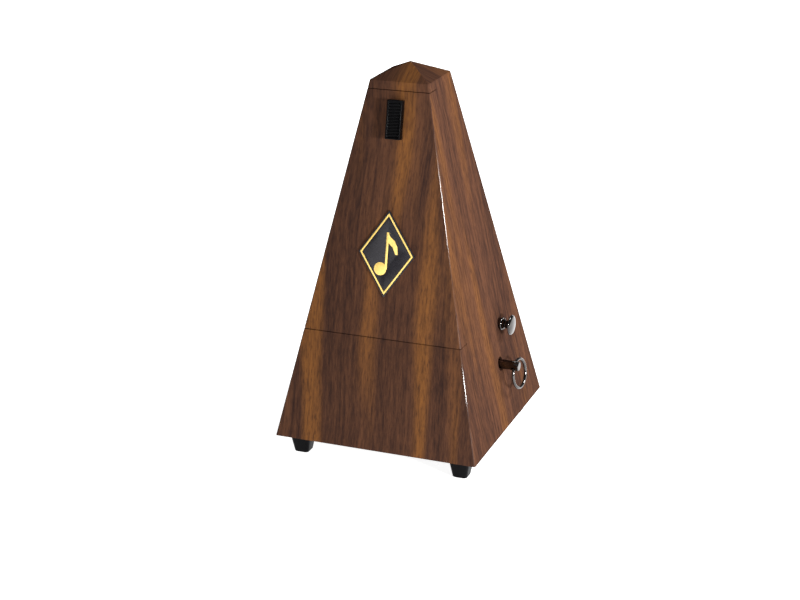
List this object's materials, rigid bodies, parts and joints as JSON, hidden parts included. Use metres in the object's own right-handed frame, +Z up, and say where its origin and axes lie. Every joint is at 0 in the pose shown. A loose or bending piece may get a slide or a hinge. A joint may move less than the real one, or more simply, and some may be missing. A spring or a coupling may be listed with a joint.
{
  "type": "metronome",
  "caption": "Pyramid wind-up metronome on four feet, with a lift-off front cover, a ring key in the side and a pull knob for the bell.",
  "frame": {"origin": "middle of the whole footprint, key included, on the surface that the feet stand on; the case's own middle is 2 mm to its left", "axes": "+X to the side with the winding key, +Y to the back, +Z up to the roof's point"},
  "size_m": [0.1244, 0.12, 0.22],
  "materials": {
    "walnut_foil": "satin plastic skin printed with a walnut grain",
    "black_plastic": "moulded black plastic, fine satin texture",
    "badge_black": "glossy black enamel",
    "gold_foil": "hot-stamped gold",
    "chrome": "bright nickel plate",
    "steel": "bright steel",
    "spring_steel": "blued spring steel",
    "brass": "rolled brass",
    "board": "matt dark brown card",
    "scale": "brushed aluminium with printed figures"
  },
  "bodies": {
    "case": {"case_shell": "walnut_foil", "base_plate": "black_plastic", "foot_front_left": "black_plastic", "foot_front_right": "black_plastic", "foot_rear_left": "black_plastic", "foot_rear_right": "black_plastic", "foot_screws": "steel", "scale_board": "board", "board_screws": "steel", "tempo_scale": "scale", "rod_clip": "brass", "movement_plate_left": "brass", "movement_plate_right": "brass", "plate_pillars": "steel", "plate_nuts": "brass", "movement_screws": "steel", "verge_bar": "brass", "verge_cock": "brass", "mainspring": "spring_steel", "selector_bush": "chrome", "bell": "chrome", "bell_stand": "steel", "bell_screw": "steel", "bell_nut": "brass"},
    "front_cover": {"front_cover": "walnut_foil", "badge_plate": "badge_black", "badge_trim": "gold_foil", "latch_spring": "spring_steel"},
    "cover_latch": {"cover_latch": "black_plastic", "latch_tongue": "steel"},
    "great_wheel": {"great_wheel": "brass", "click_screw": "brass", "click_spring": "spring_steel"},
    "click": {"click": "steel"},
    "winding_key": {"winding_arbor": "steel", "winding_key": "chrome", "ratchet_wheel": "steel"},
    "key_ring": {"key_ring": "chrome"},
    "second_wheel": {"second_wheel": "brass", "second_pinion": "steel"},
    "escape_wheel": {"escape_wheel": "brass", "escape_pinion": "steel", "beat_cams": "brass"},
    "pendulum": {"verge": "steel", "pendulum_rod": "steel", "pendulum_bob": "brass"},
    "sliding_weight": {"sliding_weight": "steel", "weight_spring": "spring_steel"},
    "bell_selector": {"selector_rod": "steel", "selector_knob": "chrome", "selector_collars": "brass"},
    "bell_hammer": {"bell_hammer": "steel", "hammer_spring": "spring_steel"}
  },
  "joints": [
    {"name": "cover_removal", "type": "slide", "parent": "case", "child": "front_cover", "axis": [0, -1, 0], "range_m": [0, 0.12], "deforming": ["latch_tongue"]},
    {"name": "latch_slide", "type": "slide", "parent": "front_cover", "child": "cover_latch", "axis": [0, -0.209, -0.9779], "range_m": [0, 0.004], "stiffness_N_per_m": 200, "springref_m": -0.002, "deforming": ["latch_spring"]},
    {"name": "great_wheel_spin", "type": "hinge", "parent": "case", "child": "great_wheel", "pos_m": [0.013, 0.0052, 0.047], "axis": [1, 0, 0], "continuous": true},
    {"name": "click_lift", "type": "hinge", "parent": "great_wheel", "child": "click", "pos_m": [0.01505, 0.01277, 0.05291], "axis": [1, 0, 0], "range_deg": [0, 10], "stiffness_Nm_per_rad": 0.0005, "springref_deg": -11.46, "deforming": ["click_spring"]},
    {"name": "key_wind", "type": "hinge", "parent": "great_wheel", "child": "winding_key", "pos_m": [0.05862, 0.0052, 0.047], "axis": [1, 0, 0], "continuous": true, "deforming": ["mainspring"]},
    {"name": "key_ring_swing", "type": "hinge", "parent": "winding_key", "child": "key_ring", "pos_m": [0.05862, 0.0052, 0.047], "axis": [0, -0.7826, -0.6225], "range_deg": [-20, 180]},
    {"name": "second_wheel_spin", "type": "hinge", "parent": "case", "child": "second_wheel", "pos_m": [-0.002, -0.00942, 0.0365], "axis": [1, 0, 0], "continuous": true},
    {"name": "escape_wheel_spin", "type": "hinge", "parent": "case", "child": "escape_wheel", "pos_m": [-0.002, -0.02404, 0.047], "axis": [1, 0, 0], "continuous": true},
    {"name": "pendulum_swing", "type": "hinge", "parent": "case", "child": "pendulum", "pos_m": [-0.002, -0.02404, 0.052], "axis": [0, 0.9779, -0.209], "range_deg": [-6, 6]},
    {"name": "weight_slide", "type": "slide", "parent": "pendulum", "child": "sliding_weight", "axis": [0, 0.209, 0.9779], "range_m": [-0.042, 0.053]},
    {"name": "selector_pull", "type": "slide", "parent": "case", "child": "bell_selector", "axis": [1, 0, 0], "range_m": [0, 0.012]},
    {"name": "hammer_swing", "type": "hinge", "parent": "bell_selector", "child": "bell_hammer", "pos_m": [-0.019, 0.0153, 0.0675], "axis": [-1, 0, 0], "range_deg": [0, 3.5], "stiffness_Nm_per_rad": 0.004, "springref_deg": -2.86, "deforming": ["hammer_spring"]}
  ],
  "couplings": [
    {"joint": "second_wheel_spin", "follows": "great_wheel_spin", "ratio": -5},
    {"joint": "escape_wheel_spin", "follows": "great_wheel_spin", "ratio": 25}
  ]
}
